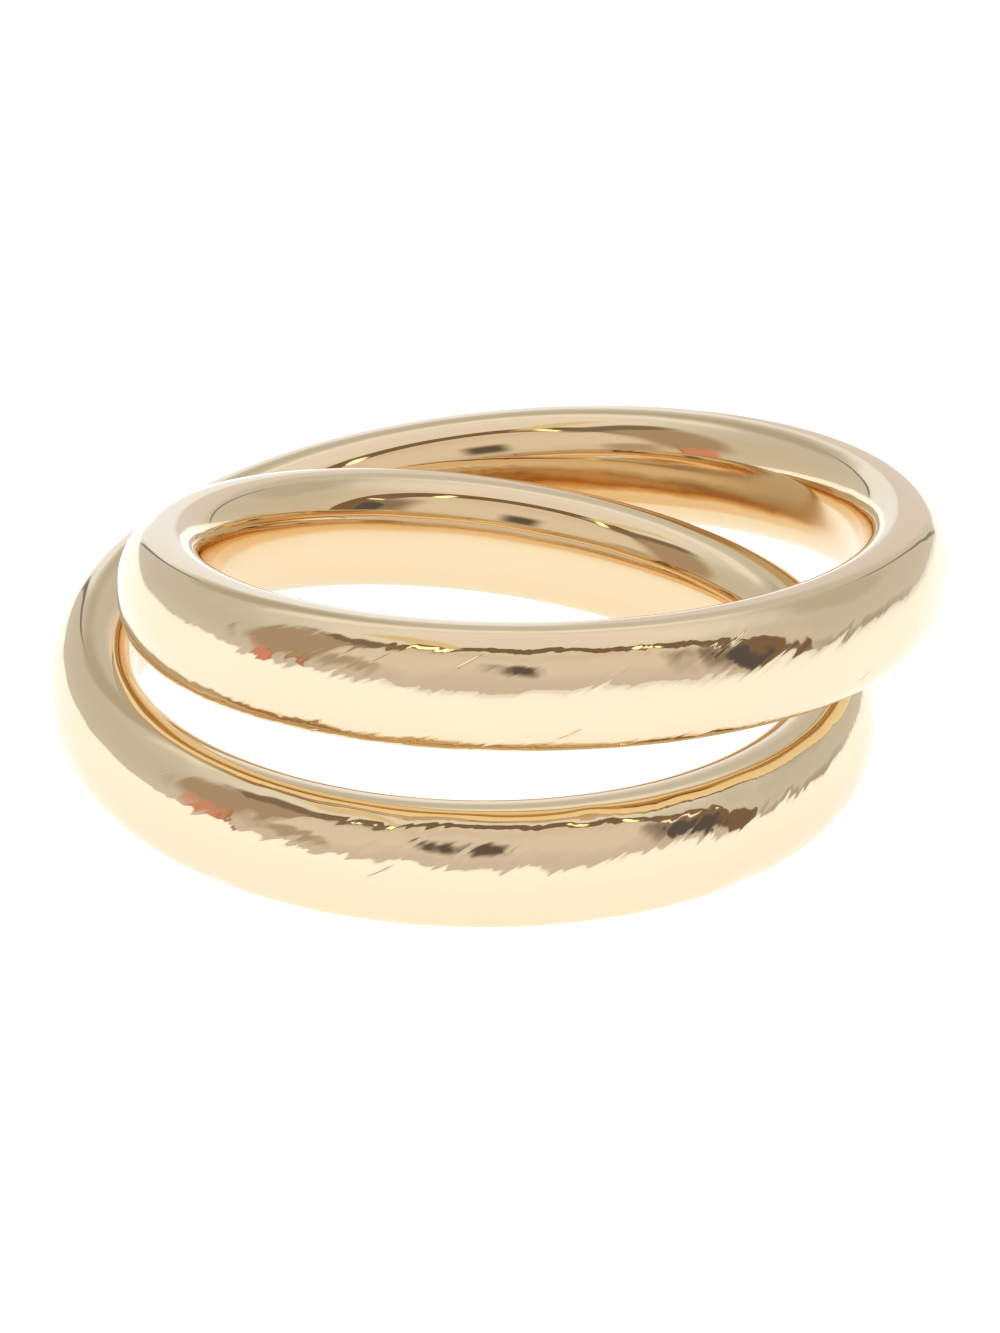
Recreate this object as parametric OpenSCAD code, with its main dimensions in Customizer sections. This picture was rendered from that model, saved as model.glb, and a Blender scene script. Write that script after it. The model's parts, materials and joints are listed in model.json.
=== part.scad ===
// Gold finger ring: one solid band that winds twice round the finger and closes on itself.
// The two turns lie one above the other at the front and one outside the other at the back.
// Millimetres. +Z is up and the front is towards -Y. The ring lies on its side on the plane Z = 0,
// leaning as it comes to rest by itself, with the origin under the middle of its outline.

/* [Winding] */
// Radius of the mean circle that both turns wind about
ring_r = 10.75; // [10.5:0.05:12]
// How far the outer turn swings out, and the inner turn in
sway = 1.7; // [1.65:0.05:2]
// Third wave of that swing, which keeps the turns apart at the back
sway_third = -0.17; // [-0.22:0.01:-0.1]
// Height of the upper turn's middle over the mean plane at the front, and depth of the lower one's
rise = 2.63; // [2.6:0.01:3]
// Height of the outer turn's middle over the mean plane at the back, before the third wave
back_rise = 0.35; // [0.25:0.05:0.35]
// Third wave of the height
rise_third = -0.08; // [-0.1:0.01:-0.05]

/* [Band] */
// Height of the band, along the ring's own axis
band_h = 3.6; // [3.3:0.05:3.6]
// Thickness of the band, outwards from the finger
band_t = 2.6; // [2.3:0.05:2.6]
// Squareness of the domed outer face, where 2 is an ellipse
outer_square = 2.1; // [2:0.1:2.5]
// Squareness of the slightly flatter inner face, which lies on the finger
inner_square = 2.5; // [2:0.5:4]

/* [Mesh] */
// Sections along the two turns
sections = 170; // [90:10:170]
// Points round each section
section_points = 28; // [16:4:28]

/* [Hidden] */

gold = [0.89, 0.76, 0.55];
// Turns of the band round the finger
turns = 2;

// The band's middle line. w runs from 0 to 360 over both turns: the upper front is at 0,
// the outer back at 90, the lower front at 180 and the inner back at 270.
function line_r(w) = ring_r + sway * sin(w) + sway_third * sin(3 * w);
function line_z(w) = rise * cos(w) + back_rise * sin(w) + rise_third * sin(3 * w);
function line(w) =
    [line_r(w) * sin(turns * w), -line_r(w) * cos(turns * w), line_z(w)];

// Directions at a place on the line: along the band, out from the finger, and up the band's height
step = 0.5;
function unit(v) = v / norm(v);
function along(w) = unit(line(w + step) - line(w - step));
function outward(w) = unit(cross(along(w), [0, 0, 1]));
function upward(w) = cross(outward(w), along(w));

// One section: close to an oval, and a little squarer on the finger's side.
// a runs round it, from the outermost point over the top.
function bent(c, square) = sign(c) * pow(abs(c), 2 / square);
function square_at(a) = cos(a) < 0 ? inner_square : outer_square;
function section_point(w, a) = line(w)
    + band_t / 2 * bent(cos(a), square_at(a)) * outward(w)
    + band_h / 2 * bent(sin(a), square_at(a)) * upward(w);

// The ring's own frame, with its axis along Z: all sections, one after the other
skin = [
    for (i = [0 : sections - 1], j = [0 : section_points - 1])
        section_point(i * 360 / sections, j * 360 / section_points)
];

// How it comes to rest. It rocks on the two sides of its lower turn, at w = 135 and 225, and stops
// where their mean slope from front to back is level, with both sides on the surface.
left = 135;
right = 225;
function slope_back(w) =
    (line_z(w + step) - line_z(w - step)) / (line(w + step).y - line(w - step).y);
lean = atan((slope_back(left) + slope_back(right)) / 2);
tip = atan((line_z(right) - line_z(left)) / (line(right).x - line(left).x));
function about_x(p, a) = [p.x, p.y * cos(a) - p.z * sin(a), p.y * sin(a) + p.z * cos(a)];
function about_y(p, a) = [p.x * cos(a) + p.z * sin(a), p.y, -p.x * sin(a) + p.z * cos(a)];
leaning = [for (p = skin) about_y(about_x(p, -lean), tip)];

// Seated: the lowest point is on Z = 0 and the outline's middle is over the origin
xs = [for (p = leaning) p.x];
ys = [for (p = leaning) p.y];
zs = [for (p = leaning) p.z];
seat = [(min(xs) + max(xs)) / 2, (min(ys) + max(ys)) / 2, min(zs)];
seated = [for (p = leaning) p - seat];

// Two triangles for each patch between neighbouring sections
function at(i, j) = (i % sections) * section_points + j % section_points;
patches = [
    for (i = [0 : sections - 1], j = [0 : section_points - 1])
        each [
            [at(i, j), at(i + 1, j + 1), at(i + 1, j)],
            [at(i, j), at(i, j + 1), at(i + 1, j + 1)]
        ]
];

module band() {
    color(gold) polyhedron(points = seated, faces = patches, convexity = 6);
}

band();
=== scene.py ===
"""A gold finger ring whose one band winds twice round the finger, at rest on a pale studio floor."""

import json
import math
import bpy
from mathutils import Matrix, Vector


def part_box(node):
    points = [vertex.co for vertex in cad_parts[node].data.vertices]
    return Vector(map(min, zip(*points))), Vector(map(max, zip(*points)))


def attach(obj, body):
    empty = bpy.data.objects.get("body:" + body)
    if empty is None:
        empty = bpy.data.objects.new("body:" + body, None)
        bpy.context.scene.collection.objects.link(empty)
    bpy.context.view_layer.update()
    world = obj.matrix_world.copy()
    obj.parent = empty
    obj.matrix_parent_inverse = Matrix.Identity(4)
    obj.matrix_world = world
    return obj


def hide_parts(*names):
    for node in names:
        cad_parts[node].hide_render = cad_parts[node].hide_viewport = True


bl_info = {
    "name": "Double-wound gold ring",
    "version": (1, 0, 0),
    "blender": (4, 5, 0),
    "location": "View3D > Sidebar > Gold ring",
    "description": "Winds, wears and lights a gold ring made of one closed band",
    "category": "Object",
}

import bpy
from mathutils import Matrix, Vector

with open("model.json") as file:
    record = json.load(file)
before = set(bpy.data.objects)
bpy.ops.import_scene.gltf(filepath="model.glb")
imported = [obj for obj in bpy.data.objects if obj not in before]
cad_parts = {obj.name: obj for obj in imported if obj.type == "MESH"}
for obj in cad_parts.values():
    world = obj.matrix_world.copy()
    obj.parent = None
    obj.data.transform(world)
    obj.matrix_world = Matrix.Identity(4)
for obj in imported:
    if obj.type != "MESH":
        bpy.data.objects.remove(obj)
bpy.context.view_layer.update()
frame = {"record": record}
MM = 0.001
# Places of the two colours in a Mix node's inputs, and of the mixed colour in its outputs
MIX_A, MIX_B, MIX_RESULT = 6, 7, 2


def linear(hex_colour):
    """Turn an sRGB hex colour into the linear colour that a shader takes."""
    parts = [int(hex_colour[i:i + 2], 16) / 255 for i in (0, 2, 4)]
    return [c / 12.92 if c <= 0.04045 else ((c + 0.055) / 1.055) ** 2.4 for c in parts]


def node(tree, kind, settings=None, links=None, values=None, stops=None):
    """Add a node with its settings, links into its inputs, values of its inputs and colour stops."""
    made = tree.nodes.new(kind)
    for name, value in (settings or {}).items():
        setattr(made, name, value)
    for name, value in (values or {}).items():
        made.inputs[name].default_value = value
    for name, socket in (links or {}).items():
        tree.links.new(socket, made.inputs[name])
    for i, (place, hex_colour) in enumerate(stops or ()):
        ramp = made.color_ramp.elements
        stop = ramp[i] if i < 2 else ramp.new(place)
        stop.position = place
        stop.color = (*linear(hex_colour), 1.0)
    return made


def empty_material(name):
    """Start a material without nodes, and return it with its node tree."""
    material = bpy.data.materials.new(name)
    material.use_nodes = True
    material.node_tree.nodes.clear()
    return material, material.node_tree


def deselect_all():
    """Start an operator's work with nothing selected."""
    bpy.ops.object.select_all(action="DESELECT")


def share(value, none, full):
    """How far a value has come from one end, where there is none, to the other, as 0 to 1."""
    return min(1.0, max(0.0, (value - none) / (full - none)))


# The winding

class BandSettings(bpy.types.PropertyGroup):
    """Sizes of the winding and of the band's section."""

    ring_radius: bpy.props.FloatProperty(
        name="Winding radius", description="Radius of the mean circle that both turns wind about",
        default=10.75 * MM, unit="LENGTH", precision=5)
    sway: bpy.props.FloatProperty(
        name="Sway", description="How far the outer turn swings out, and the inner turn in",
        default=1.7 * MM, unit="LENGTH", precision=5)
    sway_third: bpy.props.FloatProperty(
        name="Sway, third wave", description="Third wave of the sway, which parts the turns at the back",
        default=-0.17 * MM, unit="LENGTH", precision=5)
    rise: bpy.props.FloatProperty(
        name="Rise", description="Height of the upper turn over the mean plane at the front",
        default=2.63 * MM, unit="LENGTH", precision=5)
    back_rise: bpy.props.FloatProperty(
        name="Back rise", description="Height of the outer turn over the mean plane at the back",
        default=0.35 * MM, unit="LENGTH", precision=5)
    rise_third: bpy.props.FloatProperty(
        name="Rise, third wave", description="Third wave of the height",
        default=-0.08 * MM, unit="LENGTH", precision=5)
    height: bpy.props.FloatProperty(
        name="Band height", description="Height of the band along the ring's axis",
        default=3.6 * MM, unit="LENGTH", precision=5)
    thickness: bpy.props.FloatProperty(
        name="Band thickness", description="Thickness of the band outwards from the finger",
        default=2.6 * MM, unit="LENGTH", precision=5)
    outer_square: bpy.props.FloatProperty(
        name="Outer squareness", description="Squareness of the domed outer face, 2 is an ellipse",
        default=2.1, min=2, max=6)
    inner_square: bpy.props.FloatProperty(
        name="Inner squareness", description="Squareness of the flatter face on the finger",
        default=2.5, min=2, max=6)
    wave_length: bpy.props.FloatProperty(
        name="Wave length", description="Size of the uneven spots that hand polishing leaves",
        default=1.9 * MM, unit="LENGTH", precision=5)
    wave_height: bpy.props.FloatProperty(
        name="Wave height", description="Height of those uneven spots",
        default=0.11 * MM, unit="LENGTH", precision=5)
    sections: bpy.props.IntProperty(
        name="Sections", description="Sections along the two turns", default=900, min=90, max=960)
    section_points: bpy.props.IntProperty(
        name="Section points", description="Points round each section", default=104, min=24, max=104)


# Dents in the band: name, place along the turns in degrees, place across the outer face from its
# middle upwards, half length, half width and depth in millimetres
DENTS = (
    ("dent_low_front", 186.1, 1.75, 0.35, 0.25, 0.03),
    ("nick_low_right", 210.8, 1.6, 0.2, 0.2, 0.02),
    ("nick_low_left", 159.1, -1.2, 0.2, 0.15, 0.03),
)
# A dent ends where the square of the distance from its middle, in half widths, is this
DENT_REACH = 6

# Share of the hand polish's unevenness on the finger's side, and at the ring's left and right ends
UNEVEN_INSIDE = 0.1
UNEVEN_AT_ENDS = 0.25
# How far outwards a face looks where the unevenness begins, and where there is all of it
OUTSIDE_FROM, OUTSIDE_TO = 0.4, 0.8
# Millimetres to the left or right of the middle where the ends' share begins and the full share ends
ENDS_FROM, FULL_TO = 11.0, 7.0

# Steps round the band's section and along its turns in which their lengths are measured
SECTION_STEPS = 4000
TURN_STEPS = 720


def winding_line(size, turn_angle):
    """Middle of the band, in the ring's own frame. The angle runs once round over both turns."""
    first, third = math.sin(turn_angle), math.sin(3 * turn_angle)
    radius = size.ring_radius + size.sway * first + size.sway_third * third
    up = size.rise * math.cos(turn_angle) + size.back_rise * first + size.rise_third * third
    around = 2 * turn_angle
    return Vector((radius * math.sin(around), -radius * math.cos(around), up))


def section_outline(size):
    """Points of the band's section at even steps, from the outermost point downwards, and its girth."""
    fine = []
    for i in range(SECTION_STEPS + 1):
        a = -2 * math.pi * i / SECTION_STEPS
        square = size.inner_square if math.cos(a) < 0 else size.outer_square
        out = math.copysign(abs(math.cos(a)) ** (2 / square), math.cos(a)) * size.thickness / 2
        up = math.copysign(abs(math.sin(a)) ** (2 / square), math.sin(a)) * size.height / 2
        fine.append(Vector((out, up)))
    walked = [0.0]
    for before, after in zip(fine, fine[1:]):
        walked.append(walked[-1] + (after - before).length)
    points = []
    k = 0
    for i in range(size.section_points):
        goal = walked[-1] * i / size.section_points
        while walked[k + 1] < goal:
            k += 1
        part = (goal - walked[k]) / (walked[k + 1] - walked[k])
        points.append(fine[k].lerp(fine[k + 1], part))
    return points, walked[-1]


def draw_loop(points, radius):
    """Draw a closed line through the points, as a circle that is pulled into shape."""
    deselect_all()
    bpy.ops.mesh.primitive_circle_add(vertices=len(points), radius=radius)
    for v, point in zip(bpy.context.object.data.vertices, points):
        v.co = point
    bpy.ops.object.convert(target="CURVE")
    return bpy.context.object


def lay_ring(band):
    """Turn the ring from its own frame to how it rests, and put it where the CAD band lies."""
    axis = Vector(frame["record"]["mounts"][0]["axis"])
    lean = math.asin(axis.y)
    tip = math.atan2(axis.x, axis.z)
    band.matrix_world = Matrix.Rotation(tip, 4, "Y") @ Matrix.Rotation(-lean, 4, "X")
    deselect_all()
    band.select_set(True)
    bpy.context.view_layer.objects.active = band
    bpy.ops.object.transform_apply(location=True, rotation=True, scale=True)
    low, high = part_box("band")
    middle = (low + high) / 2
    places = [v.co for v in band.data.vertices]
    for i in (0, 1):
        band.location[i] = middle[i] - (min(p[i] for p in places) + max(p[i] for p in places)) / 2
    band.location[2] = -min(p.z for p in places)
    bpy.ops.object.transform_apply(location=True, rotation=True, scale=True)


def note_places(band, size):
    """Keep on each point where it lies, along the band and up its outer face, and how it faces.

    band_place rolls both turns out on one big circle, in millimetres, with the way up the face as
    its height. section_normal is the normal in the band's section: outwards, upwards.
    """
    length = 0.0
    for i in range(TURN_STEPS):
        here = winding_line(size, 2 * math.pi * i / TURN_STEPS)
        length += (winding_line(size, 2 * math.pi * (i + 1) / TURN_STEPS) - here).length
    radius = length / (2 * math.pi)
    band.data.attributes.new("band_place", "FLOAT_VECTOR", "POINT")
    band.data.attributes.new("section_normal", "FLOAT_VECTOR", "POINT")
    place = band.data.attributes["band_place"]
    facing = band.data.attributes["section_normal"]
    count = size.section_points
    outline, girth = section_outline(size)
    # The sweep may take the section's points downwards or upwards
    downwards = band.data.vertices[count // 4].co.z < winding_line(size, 0).z
    for v in band.data.vertices:
        i, j = divmod(v.index, count)
        turn_angle = 2 * math.pi * i / size.sections
        down = j if downwards else (count - j) % count
        below = girth * (down if down < count / 2 else down - count) / count
        side = (outline[(down + 1) % count] - outline[down - 1]).normalized()
        place.data[v.index].vector = (
            radius * math.cos(turn_angle) / MM, radius * math.sin(turn_angle) / MM, -below / MM)
        facing.data[v.index].vector = (-side.y, side.x, 0)


def push(band, name, weights, strength, texture=None):
    """Move the surface along its normals by a group of weights, and by a texture if one is given."""
    group = band.vertex_groups.new(name=name)
    for i, weight in weights:
        group.add([i], weight, "REPLACE")
    bpy.ops.object.modifier_add(type="DISPLACE")
    pushing = band.modifiers[-1]
    pushing.vertex_group = group.name
    pushing.strength = strength
    pushing.mid_level = 0.0
    if texture:
        pushing.texture = texture
        pushing.texture_coords = "LOCAL"
        pushing.mid_level = 0.5
    bpy.ops.object.modifier_apply(modifier=pushing.name)
    band.vertex_groups.clear()


def dent_weights(band, turn_angle, across, long, wide):
    """Weights of the points in a dent, which is bell-shaped and deepest in its middle."""
    places = band.data.attributes["band_place"].data
    middle = math.radians(turn_angle)
    weights = []
    for v in band.data.vertices:
        spot = places[v.index].vector
        radius = math.hypot(spot.x, spot.y)
        along = radius * math.remainder(math.atan2(spot.y, spot.x) - middle, 2 * math.pi)
        away = (along / long) ** 2 + ((spot.z - across) / wide) ** 2
        if away < DENT_REACH:
            weights.append((v.index, math.exp(-away)))
    return weights


def wear_shape(band, size):
    """Leave the outer face slightly uneven from hand polishing, and press the small dents in."""
    facing = band.data.attributes["section_normal"].data
    clouds = bpy.data.textures.new("hand_polish", "CLOUDS")
    clouds.noise_scale = size.wave_length
    clouds.noise_depth = 1
    weights = []
    for v in band.data.vertices:
        outside = share(facing[v.index].vector.x, OUTSIDE_FROM, OUTSIDE_TO)
        between_ends = max(UNEVEN_AT_ENDS, share(abs(v.co.x / MM), ENDS_FROM, FULL_TO))
        uneven = UNEVEN_INSIDE + (1 - UNEVEN_INSIDE) * outside * between_ends
        weights.append((v.index, uneven))
    push(band, "outer_face", weights, size.wave_height, clouds)
    for name, turn_angle, across, long, wide, depth in DENTS:
        push(band, name, dent_weights(band, turn_angle, across, long, wide), -depth * MM)


class RING_OT_wind_band(bpy.types.Operator):
    """Wind the band twice round the finger and close it on itself"""

    bl_idname = "gold_ring.wind_band"
    bl_label = "Wind the band"

    def execute(self, context):
        size = context.scene.gold_ring_band
        turn_angles = [-2 * math.pi * i / size.sections for i in range(size.sections)]
        path = draw_loop([winding_line(size, angle) for angle in turn_angles], size.ring_radius)
        outline, _ = section_outline(size)
        section = draw_loop([(point.x, -point.y, 0) for point in outline], size.thickness / 2)
        section.data.dimensions = "2D"

        deselect_all()
        path.select_set(True)
        context.view_layer.objects.active = path
        path.data.dimensions = "3D"
        path.data.twist_mode = "Z_UP"
        path.data.bevel_mode = "OBJECT"
        path.data.bevel_object = section
        bpy.ops.object.convert(target="MESH")
        band = context.object
        band.name = "gold_band"
        bpy.data.objects.remove(section)
        if len(band.data.vertices) != size.sections * size.section_points:
            raise RuntimeError("the band has an unexpected number of points")

        note_places(band, size)
        lay_ring(band)
        wear_shape(band, size)
        bpy.ops.object.mode_set(mode="EDIT")
        bpy.ops.mesh.select_all(action="SELECT")
        bpy.ops.mesh.normals_make_consistent(inside=False)
        bpy.ops.object.mode_set(mode="OBJECT")
        bpy.ops.object.shade_smooth()

        band.data.materials.clear()
        band.data.materials.append(polished_gold(context.scene.gold_ring_gold))
        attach(band, "root")
        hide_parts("band")
        return {"FINISHED"}


# The gold

class GoldSettings(bpy.types.PropertyGroup):
    """Colour and wear of the gold."""

    colour: bpy.props.FloatVectorProperty(
        name="Gold colour", description="Reflected colour of the polished gold",
        default=linear("ECD4B1"), subtype="COLOR", min=0, max=1)
    # Painted reflection: the deeper colour of the face on the finger stands in for light bounced between
    # the turns
    finger_painted_tint: bpy.props.FloatVectorProperty(
        name="Finger's side colour", description="Deeper colour of the face on the finger",
        default=linear("EDD1A7"), subtype="COLOR", min=0, max=1)
    # Painted reflection: the yellower colour of the faces that look down stands in for light bounced
    # between the turns
    under_painted_tint: bpy.props.FloatVectorProperty(
        name="Under colour", description="Slightly yellower colour of the faces that look down",
        default=linear("E7D2A8"), subtype="COLOR", min=0, max=1)
    roughness: bpy.props.FloatProperty(
        name="Roughness", description="Roughness of the mirror polish", default=0.03, min=0, max=1)
    wear_roughness: bpy.props.FloatProperty(
        name="Wear roughness", description="Roughness that the wear adds on the outer faces",
        default=0.06, min=0, max=1)
    finger_roughness: bpy.props.FloatProperty(
        name="Finger's side roughness", description="Roughness of the satin face on the finger",
        default=0.15, min=0, max=1)
    wear_depth: bpy.props.FloatProperty(
        name="Wear depth", description="Depth of the fine strokes on the outer faces",
        default=0.038 * MM, unit="LENGTH", precision=6)


# Patches of wear, strokes and scratches to the millimetre, and how much longer than wide the last
# two are up the face: 1 / 0.4 and 1 / 0.3 times
PATCHES_PER_MM = 0.35
STROKES_PER_MM = 1.3
STROKE_STRETCH = 0.4
SCRATCHES_PER_MM = 0.9
SCRATCH_STRETCH = 0.3
# Slant of both: how far they turn along the winding, in radians, for each millimetre up the face
SLANT = -0.07
# Depth of a scratch as a share of the strokes' depth
SCRATCH_DEPTH = 0.6
# Way in the section from the band's middle to the edge of its inner face, outwards and upwards
TO_INNER_EDGE = (-0.9, -0.45, 0.0)


def polished_gold(look):
    """Pale yellow gold alloy, cast and mirror polished, worn by other rings on its outer faces.

    The polish shows the surroundings sharply, and the wear breaks up the borders of what it shows.
    The face on the finger is less polished, so it is softer. Its deeper colour and the slightly
    yellower colour of the face that looks down are painted reflection, for light bounced between the
    turns.
    """
    material, tree = empty_material("polished_gold")

    # Masks: worn on the outer face, fingerwards on the inner face for its finish, one on the inner face
    # for its painted reflection tint, and below on the face that looks down for its painted tint
    place = node(tree, "ShaderNodeAttribute", {"attribute_name": "band_place"})
    facing = node(tree, "ShaderNodeAttribute", {"attribute_name": "section_normal"})
    parts = node(tree, "ShaderNodeSeparateXYZ", links={"Vector": facing.outputs["Vector"]})
    worn = node(
        tree, "ShaderNodeMapRange", {"interpolation_type": "SMOOTHSTEP"},
        {"Value": parts.outputs["X"]},
        {"From Min": 0.5, "From Max": 0.85, "To Min": 0.0, "To Max": 1.0})
    inwards = node(
        tree, "ShaderNodeVectorMath", {"operation": "DOT_PRODUCT"},
        {0: facing.outputs["Vector"]}, {1: TO_INNER_EDGE})
    fingerwards = node(
        tree, "ShaderNodeMapRange", {"interpolation_type": "SMOOTHSTEP"},
        {"Value": inwards.outputs["Value"]},
        {"From Min": 0.78, "From Max": 0.9, "To Min": 0.0, "To Max": 1.0})
    # Inner face, which gets a painted reflection tint
    finger_tint_mask = node(
        tree, "ShaderNodeMapRange", {"interpolation_type": "SMOOTHSTEP"},
        {"Value": parts.outputs["X"]},
        {"From Min": -0.97, "From Max": -0.6, "To Min": 1.0, "To Max": 0.0})
    # Faces that look down, which get a painted reflection tint
    below = node(
        tree, "ShaderNodeMapRange", {"interpolation_type": "SMOOTHSTEP"},
        {"Value": parts.outputs["Y"]},
        {"From Min": -0.85, "From Max": -0.5, "To Min": 1.0, "To Max": 0.0})

    # Rubbed patches, some millimetres across, where the wear is stronger and a little duller. At
    # the ring's left and right ends the wear is weaker.
    spot = node(tree, "ShaderNodeTexCoord")
    patches = node(
        tree, "ShaderNodeTexNoise", links={"Vector": spot.outputs["Object"]},
        values={"Scale": PATCHES_PER_MM / MM, "Detail": 3.0, "Roughness": 0.6})
    patchy = node(
        tree, "ShaderNodeMapRange", {"interpolation_type": "SMOOTHSTEP"},
        {"Value": patches.outputs["Fac"]},
        {"From Min": 0.4, "From Max": 0.62, "To Min": 0.35, "To Max": 1.0})
    sideways = node(tree, "ShaderNodeSeparateXYZ", links={"Vector": spot.outputs["Object"]})
    rubbed_left = node(
        tree, "ShaderNodeMapRange", {"interpolation_type": "SMOOTHSTEP"},
        {"Value": sideways.outputs["X"]},
        {"From Min": -10.5 * MM, "From Max": -7.0 * MM, "To Min": 0.1, "To Max": 1.0})
    rubbed_right = node(
        tree, "ShaderNodeMapRange", {"interpolation_type": "SMOOTHSTEP"},
        {"Value": sideways.outputs["X"]},
        {"From Min": 8.0 * MM, "From Max": 11.5 * MM, "To Min": 1.0, "To Max": 0.3})

    # Strokes that slant up the outer face, about one millimetre wide and two long, with finer
    # ones in them
    up_face = node(tree, "ShaderNodeSeparateXYZ", links={"Vector": place.outputs["Vector"]})
    slant = node(
        tree, "ShaderNodeMath", {"operation": "MULTIPLY"}, {0: up_face.outputs["Z"]}, {1: SLANT})
    leaning = node(
        tree, "ShaderNodeVectorRotate", {"rotation_type": "Z_AXIS"},
        {"Vector": place.outputs["Vector"], "Angle": slant.outputs["Value"]})
    drawn_out = node(
        tree, "ShaderNodeMapping", links={"Vector": leaning.outputs["Vector"]},
        values={"Scale": (1.0, 1.0, STROKE_STRETCH)})
    strokes = node(
        tree, "ShaderNodeTexNoise", links={"Vector": drawn_out.outputs["Vector"]},
        values={
            "Scale": STROKES_PER_MM, "Detail": 1.4, "Roughness": 0.5, "Distortion": 0.6})
    stroke_height = strokes.outputs["Fac"]
    for mask in (worn, patchy, rubbed_left, rubbed_right):
        masked = node(
            tree, "ShaderNodeMath", {"operation": "MULTIPLY"},
            {0: stroke_height, 1: mask.outputs["Result"]})
        stroke_height = masked.outputs["Value"]

    # A few short scratches that slant with the strokes, about a millimetre long
    along_strokes = node(
        tree, "ShaderNodeMapping", links={"Vector": leaning.outputs["Vector"]},
        values={"Scale": (1.0, 1.0, SCRATCH_STRETCH)})
    nicks = node(
        tree, "ShaderNodeTexVoronoi", links={"Vector": along_strokes.outputs["Vector"]},
        values={"Scale": SCRATCHES_PER_MM})
    scratches = node(
        tree, "ShaderNodeMapRange", {"interpolation_type": "SMOOTHSTEP"},
        {"Value": nicks.outputs["Distance"]},
        {"From Min": 0.02, "From Max": 0.07, "To Min": -SCRATCH_DEPTH, "To Max": 0.0})
    worn_scratches = node(
        tree, "ShaderNodeMath", {"operation": "MULTIPLY"},
        {0: scratches.outputs["Result"], 1: worn.outputs["Result"]})
    height = node(
        tree, "ShaderNodeMath", {"operation": "ADD"},
        {0: stroke_height, 1: worn_scratches.outputs["Value"]})
    relief = node(
        tree, "ShaderNodeBump", links={"Height": height.outputs["Value"]},
        values={"Strength": 1.0, "Distance": look.wear_depth})

    # Finish of each face, and its colour with painted reflection tints on the inner and lower faces
    rubbed = node(
        tree, "ShaderNodeMath", {"operation": "MULTIPLY"},
        {0: patches.outputs["Fac"], 1: worn.outputs["Result"]})
    outer_roughness = node(
        tree, "ShaderNodeMapRange", links={"Value": rubbed.outputs["Value"]},
        values={"To Min": look.roughness, "To Max": look.roughness + look.wear_roughness})
    roughness = node(
        tree, "ShaderNodeMix", {"data_type": "FLOAT"},
        {"Factor": fingerwards.outputs["Result"], "A": outer_roughness.outputs["Result"]},
        {"B": look.finger_roughness})
    # Painted reflection: tinted copies of the gold colour on the face on the finger and on the faces
    # that look down
    inner_tinted_colour = node(
        tree, "ShaderNodeMix", {"data_type": "RGBA"}, {"Factor": finger_tint_mask.outputs["Result"]},
        {MIX_A: (*look.colour, 1.0), MIX_B: (*look.finger_painted_tint, 1.0)})
    colour = node(
        tree, "ShaderNodeMix", {"data_type": "RGBA"},
        {"Factor": below.outputs["Result"], MIX_A: inner_tinted_colour.outputs[MIX_RESULT]},
        {MIX_B: (*look.under_painted_tint, 1.0)})
    shader = node(
        tree, "ShaderNodeBsdfPrincipled",
        links={
            "Base Color": colour.outputs[MIX_RESULT], "Roughness": roughness.outputs["Result"],
            "Normal": relief.outputs["Normal"]},
        values={"Metallic": 1.0})
    node(tree, "ShaderNodeOutputMaterial", links={"Surface": shader.outputs["BSDF"]})
    return material


# The stage

class StageSettings(bpy.types.PropertyGroup):
    """Floor and studio light."""

    floor_size: bpy.props.FloatProperty(
        name="Floor size", description="Side of the square floor", default=0.7, unit="LENGTH")
    floor_glow: bpy.props.FloatProperty(
        name="Floor glow", description="Light that the opal floor gives by itself",
        default=0.83, min=0, max=2)
    soft_light: bpy.props.FloatProperty(
        name="Soft light", description="Strength of the soft light that falls on the floor",
        default=0.8, min=0, max=4)
    card_distance: bpy.props.FloatProperty(
        name="Card distance", description="Distance of the studio's cards from the ring",
        default=0.24, unit="LENGTH")


# Cards round the ring, which its gold shows: name, azimuth from the back over the right and
# elevation of the middle, width and height, all in degrees, share of soft edge, colour, brightness
CARDS = (
    ("back_sheet_right", 12, 8, 34, 38, 0.4, "EAE8EC", 1.0),
    ("back_sheet", 350, 5, 30, 38, 0.4, "E7F0FC", 1.25),
    ("back_top", 350, 53, 62, 16, 0.6, "FAFCFF", 1.06),
    # Painted shadow: two narrow grey cards for the shadows along the back sheet's side edges
    ("back_sheet_shadow_left", 337, 16, 2.6, 38, 0.5, "898986", 1.0),
    ("back_sheet_shadow_right", 31.5, 18, 2.6, 46, 0.5, "90908E", 1.0),
    ("back_wall_left", 340, 34, 30, 22, 0.6, "C0C0B8", 1.0),
    ("back_wall_right", 50, 38, 44, 30, 0.6, "C7CBC5", 1.0),
    ("skirting", 82, 2, 60, 12, 0.8, "BCBAB8", 1.0),
    ("flag_right_soft", 125, 24, 30, 46, 0.8, "958A80", 1.0),
    ("flag_right", 119, 17, 13, 27, 0.4, "615D61", 1.0),
    ("glint_right", 115, 33.5, 8, 3, 0.5, "FFFFF1", 1.4),
    ("panel_left_low", 229, 15, 26, 20, 0.7, "BCB3A6", 1.0),
    ("panel_left", 254, 34, 38, 56, 0.5, "B6A797", 1.0),
    ("panel_left_high", 251, 56, 42, 14, 0.5, "897C6C", 1.0),
    ("card_red", 252.5, 5, 18, 30, 0.5, "DDA28E", 1.0),
    ("glow_left", 256, 71, 40, 9, 0.6, "EDE1BA", 1.0),
    ("dark_card_front", 182, 27, 20, 25, 0.7, "696159", 1.0),
)
# Each card stands nearer than the one before by this share, so that it covers it
CARD_STEP = 0.01

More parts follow.
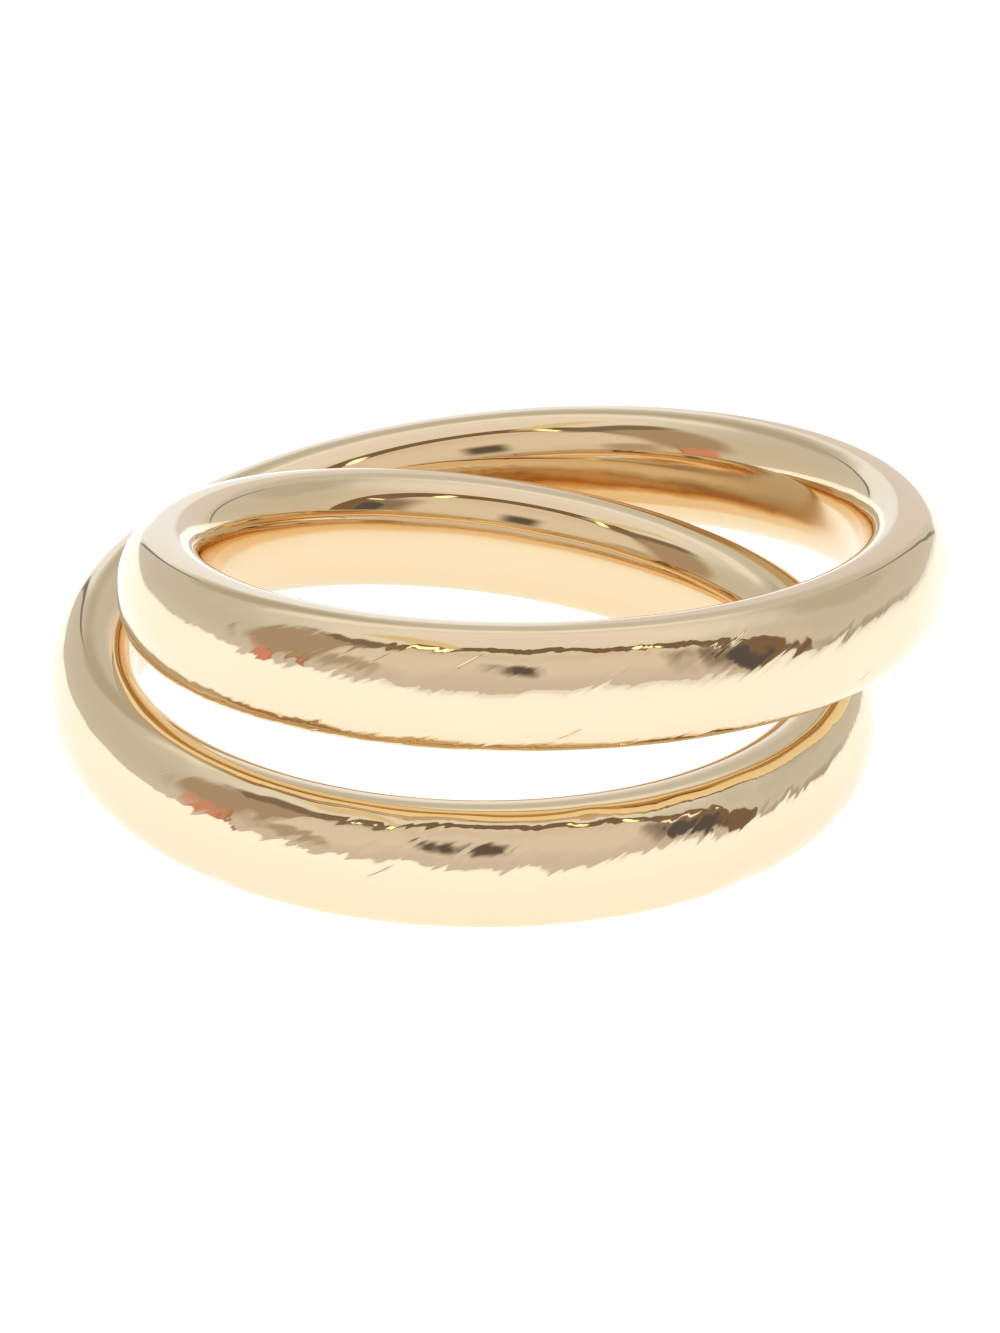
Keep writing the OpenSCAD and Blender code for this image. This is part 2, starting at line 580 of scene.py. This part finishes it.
# Two small warm lamps, with the cards' columns, which stand nearer than all cards
LAMPS = (
    ("lamp_left", 223, 61, 3.2, 12, 0.6, "FFF8BE", 2.8),
    ("lamp_right", 131, 56, 4.5, 12, 0.6, "FFF8BE", 2.8),
)
LAMP_DISTANCE = 0.19

# Dark rim of the light tent's arched opening, in metres
HOOP_RADIUS = 0.29
HOOP_THICKNESS = 0.03
HOOP_PLACE = (0, -0.1, 0)

# Camera of the photograph, from a fit to the ring's outlines: place and lens in millimetres, the way
# that it looks, and its roll in degrees
CAMERA_PLACE = (-2.251, -145.479, 76.6)
CAMERA_VIEW = (0.0143, 0.88993, -0.45587)
CAMERA_ROLL = 1.357
LENS = 150.312
SENSOR = 36

# Painted pool of light in the floor's colour, paler in the middle and greyer far off: where its fall
# begins and ends, in metres from its middle, and from what to what
LIGHT_POOL_MIDDLE = (-0.045, 0.035, 0.0)
LIGHT_POOL_FADE_FROM, LIGHT_POOL_FADE_TO = 0.075, 0.19
LIGHT_POOL_PALE, LIGHT_POOL_GREY = 0.8, 0.42


def show_in_gold_only(thing):
    """Keep a thing out of the camera's sight and out of the floor's light, so only the gold shows it."""
    thing.visible_camera = False
    thing.visible_diffuse = False
    thing.visible_shadow = False


def place_card(name, azimuth, elevation, width, height, soft, colour, brightness, distance):
    """Set up one soft-edged card that faces the ring and that only its reflections show."""
    turn, rise = math.radians(azimuth), math.radians(elevation)
    way = Vector((
        math.sin(turn) * math.cos(rise), math.cos(turn) * math.cos(rise), math.sin(rise)))
    deselect_all()
    bpy.ops.mesh.primitive_plane_add(size=2, location=way * distance)
    card = bpy.context.object
    card.name = name
    card.rotation_euler = way.to_track_quat("Z", "Y").to_euler()
    card.scale = (
        distance * math.tan(math.radians(width) / 2), distance * math.tan(math.radians(height) / 2), 1)
    show_in_gold_only(card)
    card.data.materials.append(card_paper(name, soft, colour, brightness))


def card_paper(name, soft, colour, brightness):
    """Evenly lit card whose edges fade out, so that the gold shows no hard border."""
    material, tree = empty_material("lit_paper_" + name)
    spot = node(tree, "ShaderNodeTexCoord")
    parts = node(tree, "ShaderNodeSeparateXYZ", links={"Vector": spot.outputs["Object"]})

    # Way to the edge, 0 in the middle and 1 at the edge, by fourth powers for rounded corners
    powers = []
    for way in ("X", "Y"):
        size = node(
            tree, "ShaderNodeMath", {"operation": "ABSOLUTE"}, {0: parts.outputs[way]})
        powers.append(node(
            tree, "ShaderNodeMath", {"operation": "POWER"}, {0: size.outputs["Value"]}, {1: 4.0}))
    both = node(
        tree, "ShaderNodeMath", {"operation": "ADD"},
        {0: powers[0].outputs["Value"], 1: powers[1].outputs["Value"]})
    edge = node(
        tree, "ShaderNodeMath", {"operation": "POWER"}, {0: both.outputs["Value"]}, {1: 0.25})
    shown = node(
        tree, "ShaderNodeMapRange", {"interpolation_type": "SMOOTHSTEP"},
        {"Value": edge.outputs["Value"]},
        {"From Min": 1.0 - soft, "From Max": 1.0, "To Min": 1.0, "To Max": 0.0})
    clear = node(tree, "ShaderNodeBsdfTransparent")
    lit = node(
        tree, "ShaderNodeEmission",
        values={"Color": (*linear(colour), 1.0), "Strength": brightness})
    mixed = node(
        tree, "ShaderNodeMixShader",
        links={0: shown.outputs["Result"], 1: clear.outputs["BSDF"], 2: lit.outputs["Emission"]})
    node(tree, "ShaderNodeOutputMaterial", links={"Surface": mixed.outputs["Shader"]})
    return material


def set_camera(context):
    """Camera at the photograph's angle: a long lens 164 mm from the ring."""
    bpy.ops.object.camera_add(location=Vector(CAMERA_PLACE) * MM)
    camera = context.object
    forward = Vector(CAMERA_VIEW).normalized()
    level = forward.cross(Vector((0, 0, 1))).normalized()
    over = level.cross(forward)
    roll = math.radians(CAMERA_ROLL)
    right = level * math.cos(roll) + over * math.sin(roll)
    up = right.cross(forward)
    turned = Matrix((right, up, -forward)).transposed().to_4x4()
    camera.matrix_world = Matrix.Translation(camera.location) @ turned
    camera.data.lens = LENS
    camera.data.sensor_width = SENSOR
    camera.data.clip_start = 0.01
    camera.data.clip_end = 10
    context.scene.camera = camera


def lay_floor(stage):
    """White opal acrylic sheet under strong soft light, overexposed white as in the photo.

    The gold shows the sheet's shading: darker under the ring, in the ring's own shadow, and duller far
    off, where a painted pool of light fades in the sheet's colour. The camera sees it evenly white.
    """
    deselect_all()
    bpy.ops.mesh.primitive_plane_add(size=stage.floor_size)
    floor = bpy.context.object
    floor.name = "floor"
    material, tree = empty_material("opal_acrylic")
    spot = node(tree, "ShaderNodeTexCoord")
    from_middle = node(
        tree, "ShaderNodeVectorMath", {"operation": "DISTANCE"}, {0: spot.outputs["Object"]},
        {1: LIGHT_POOL_MIDDLE})
    # Painted pool of light: the sheet's colour falls from pale near the middle to greyer far off
    painted_light_pool = node(
        tree, "ShaderNodeMapRange", {"interpolation_type": "SMOOTHSTEP"},
        {"Value": from_middle.outputs["Value"]},
        {"From Min": LIGHT_POOL_FADE_FROM, "From Max": LIGHT_POOL_FADE_TO, "To Min": LIGHT_POOL_PALE, "To Max": LIGHT_POOL_GREY})
    seen = node(tree, "ShaderNodeLightPath")
    glow = node(
        tree, "ShaderNodeMapRange", links={"Value": seen.outputs["Is Camera Ray"]},
        values={"To Min": stage.floor_glow, "To Max": 1.0})
    shader = node(
        tree, "ShaderNodeBsdfPrincipled",
        links={
            "Base Color": painted_light_pool.outputs["Result"], "Emission Strength": glow.outputs["Result"]},
        values={
            "Roughness": 0.6, "Specular IOR Level": 0.0,
            "Emission Color": (*linear("E2F0FF"), 1.0)})
    node(tree, "ShaderNodeOutputMaterial", links={"Surface": shader.outputs["BSDF"]})
    floor.data.materials.append(material)


def light_room(context, stage):
    """Walls of a light tent as the surroundings: grey at the sides, warmer on the camera's side.

    The gold shows these walls, and the floor takes the even light of the lamps behind them.
    """
    world = bpy.data.worlds.new("light_tent")
    context.scene.world = world
    world.use_nodes = True
    tree = world.node_tree
    tree.nodes.clear()
    way = node(tree, "ShaderNodeTexCoord")
    parts = node(tree, "ShaderNodeSeparateXYZ", links={"Vector": way.outputs["Generated"]})
    back = node(
        tree, "ShaderNodeValToRGB", links={"Fac": parts.outputs["Z"]},
        stops=((0.0, "DEE1E2"), (0.2, "D8DBDB"), (0.5, "D4D8D6"), (0.7, "DBE1E1"),
               (0.84, "F1F5F6"), (0.92, "F9FDFE"), (1.0, "F3F6F7")))
    front = node(
        tree, "ShaderNodeValToRGB", links={"Fac": parts.outputs["Z"]},
        stops=((0.0, "DDDAD7"), (0.2, "E2DEDD"), (0.42, "EDEBE8"), (0.7, "ECE8E6"),
               (0.82, "E5DFD7"), (0.9, "ECEBE7"), (1.0, "F3F6F7")))
    towards_front = node(
        tree, "ShaderNodeMapRange", {"interpolation_type": "SMOOTHSTEP"},
        {"Value": parts.outputs["Y"]},
        {"From Min": -0.5, "From Max": 0.1, "To Min": 1.0, "To Max": 0.0})
    walls = node(
        tree, "ShaderNodeMix", {"data_type": "RGBA"}, {"Factor": towards_front.outputs["Result"],
        MIX_A: back.outputs["Color"], MIX_B: front.outputs["Color"]})
    room = node(tree, "ShaderNodeBackground", links={"Color": walls.outputs[MIX_RESULT]})
    plain = node(tree, "ShaderNodeBackground", values={"Color": (1.0, 1.0, 1.0, 1.0)})
    even = node(
        tree, "ShaderNodeBackground",
        values={"Color": (1.0, 1.0, 1.0, 1.0), "Strength": stage.soft_light})
    seen = node(tree, "ShaderNodeLightPath")
    lit_or_seen = node(
        tree, "ShaderNodeMixShader",
        links={0: seen.outputs["Is Diffuse Ray"], 1: room.outputs["Background"],
               2: even.outputs["Background"]})
    both = node(
        tree, "ShaderNodeMixShader",
        links={0: seen.outputs["Is Camera Ray"], 1: lit_or_seen.outputs["Shader"],
               2: plain.outputs["Background"]})
    node(tree, "ShaderNodeOutputWorld", links={"Surface": both.outputs["Shader"]})


def raise_hoop():
    """Stand up the dark rim of the tent's arched opening, whose reflection is the gold's dark line."""
    deselect_all()
    bpy.ops.mesh.primitive_torus_add(
        major_radius=HOOP_RADIUS, minor_radius=HOOP_THICKNESS, major_segments=96, minor_segments=16,
        location=HOOP_PLACE, rotation=(math.pi / 2, 0, 0))
    hoop = bpy.context.object
    hoop.name = "hoop"
    show_in_gold_only(hoop)
    # Dark cloth that looks evenly dull
    material, tree = empty_material("hoop_fabric")
    lit = node(tree, "ShaderNodeEmission", values={"Color": (*linear("84715D"), 1.0)})
    node(tree, "ShaderNodeOutputMaterial", links={"Surface": lit.outputs["Emission"]})
    hoop.data.materials.append(material)


class RING_OT_set_stage(bpy.types.Operator):
    """Lay the pale floor, light the room softly and set the camera"""

    bl_idname = "gold_ring.set_stage"
    bl_label = "Set the stage"

    def execute(self, context):
        stage = context.scene.gold_ring_stage
        lay_floor(stage)
        light_room(context, stage)
        raise_hoop()
        for i, card in enumerate(CARDS):
            place_card(*card, stage.card_distance * (1 - CARD_STEP * i))
        for lamp in LAMPS:
            place_card(*lamp, LAMP_DISTANCE)
        set_camera(context)
        context.scene.view_settings.view_transform = "Standard"
        context.scene.cycles.glossy_bounces = 12
        deselect_all()
        return {"FINISHED"}


class RING_PT_panel(bpy.types.Panel):
    """Lists the pieces and the stage of the gold ring"""

    bl_label = "Gold ring"
    bl_idname = "RING_PT_panel"
    bl_space_type = "VIEW_3D"
    bl_region_type = "UI"
    bl_category = "Gold ring"

    def draw(self, context):
        layout = self.layout
        scene = context.scene
        for label, operator, group in (
                ("Band", "gold_ring.wind_band", scene.gold_ring_band),
                ("Gold", None, scene.gold_ring_gold),
                ("Stage", "gold_ring.set_stage", scene.gold_ring_stage)):
            box = layout.box()
            box.label(text=label)
            for name in group.__annotations__:
                box.prop(group, name)
            if operator:
                box.operator(operator)


CLASSES = (
    BandSettings,
    GoldSettings,
    StageSettings,
    RING_OT_wind_band,
    RING_OT_set_stage,
    RING_PT_panel,
)


def register():
    for each in CLASSES:
        bpy.utils.register_class(each)
    bpy.types.Scene.gold_ring_band = bpy.props.PointerProperty(type=BandSettings)
    bpy.types.Scene.gold_ring_gold = bpy.props.PointerProperty(type=GoldSettings)
    bpy.types.Scene.gold_ring_stage = bpy.props.PointerProperty(type=StageSettings)


def unregister():
    del bpy.types.Scene.gold_ring_stage
    del bpy.types.Scene.gold_ring_gold
    del bpy.types.Scene.gold_ring_band
    for each in reversed(CLASSES):
        bpy.utils.unregister_class(each)


def main():
    register()
    bpy.ops.gold_ring.wind_band()
    bpy.ops.gold_ring.set_stage()


if __name__ == "__main__":
    main()
